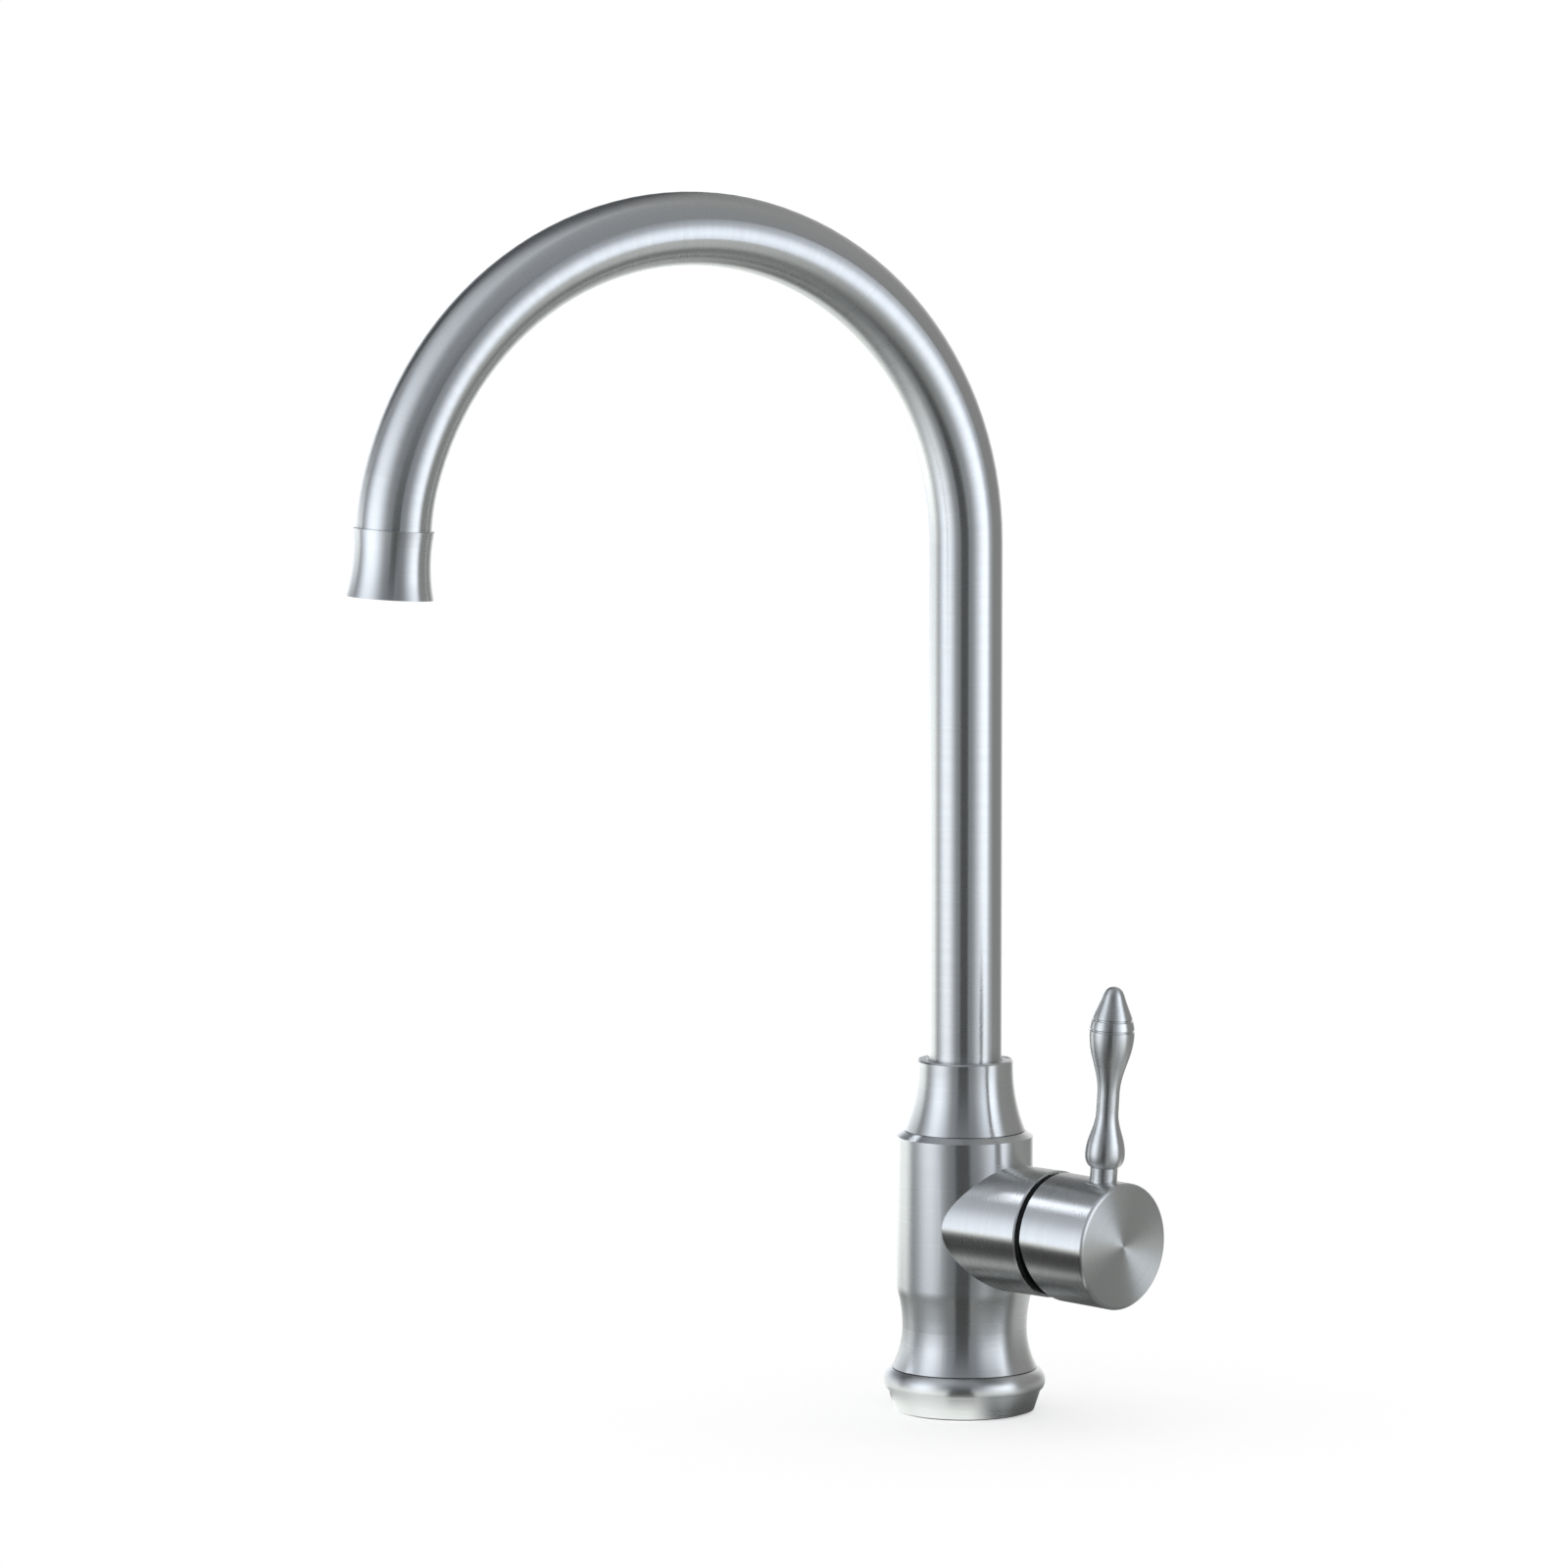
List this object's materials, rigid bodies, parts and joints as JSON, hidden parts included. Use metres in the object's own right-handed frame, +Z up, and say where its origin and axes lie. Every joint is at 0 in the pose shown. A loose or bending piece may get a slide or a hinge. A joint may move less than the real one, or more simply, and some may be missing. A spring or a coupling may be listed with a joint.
{
  "type": "kitchen faucet",
  "caption": "Single-lever gooseneck kitchen faucet in satin steel, with a swivelling arched spout, a side valve barrel and a baluster lever on its drum handle.",
  "frame": {"origin": "centre of the base on the deck face, on the axis of the column", "axes": "+Z up along the column, -X towards the spout's outlet, the valve barrel points 72 degrees from +X towards -Y"},
  "size_m": [0.2754, 0.103, 0.4205],
  "materials": {
    "satin_steel": "satin, brushed round",
    "plain_steel": "machined",
    "brass": "machined",
    "rubber": "matt",
    "black_plastic": "matt moulded",
    "pale_plastic": "moulded",
    "ceramic": "lapped"
  },
  "bodies": {
    "body": {"faucet_body": "satin_steel", "base_ring": "satin_steel", "base_gasket": "rubber", "inlet_block": "brass", "neck_collar": "satin_steel", "lower_swivel_ring": "pale_plastic", "upper_swivel_ring": "pale_plastic", "cartridge_base": "pale_plastic", "port_seals": "rubber", "fixed_disc": "ceramic", "cartridge_housing": "pale_plastic", "cartridge_nut": "brass", "bonnet_ring": "black_plastic"},
    "spout": {"spout_tube": "satin_steel", "spout_tail": "brass", "spout_o_rings": "rubber", "aerator_shell": "satin_steel", "aerator_gasket": "rubber", "aerator_insert": "pale_plastic", "aerator_screen": "plain_steel"},
    "rotor": {"cartridge_rotor": "pale_plastic", "rotor_o_ring": "rubber", "pivot_pin": "plain_steel"},
    "handle": {"stem": "plain_steel", "handle_drum": "satin_steel", "lever": "satin_steel", "handle_set_screw": "plain_steel"},
    "disc_slider": {"disc_carrier": "pale_plastic", "moving_disc": "ceramic"}
  },
  "joints": [
    {"name": "spout_swivel", "type": "hinge", "parent": "body", "child": "spout", "pos_m": [0, 0, 0], "axis": [0, 0, 1], "continuous": true},
    {"name": "handle_turn", "type": "hinge", "parent": "body", "child": "rotor", "pos_m": [0, 0, 0.0653], "axis": [0.309, -0.9511, 0], "range_deg": [-45, 45]},
    {"name": "handle_tilt", "type": "hinge", "parent": "rotor", "child": "handle", "pos_m": [0.00939, -0.02891, 0.0653], "axis": [0.9511, 0.309, 0], "range_deg": [0, 22]},
    {"name": "disc_slide", "type": "slide", "parent": "rotor", "child": "disc_slider", "axis": [0, 0, 1], "range_m": [0, 0.0036]}
  ],
  "couplings": [
    {"joint": "disc_slide", "follows": "handle_tilt", "m_per_rad": 0.0090239}
  ]
}
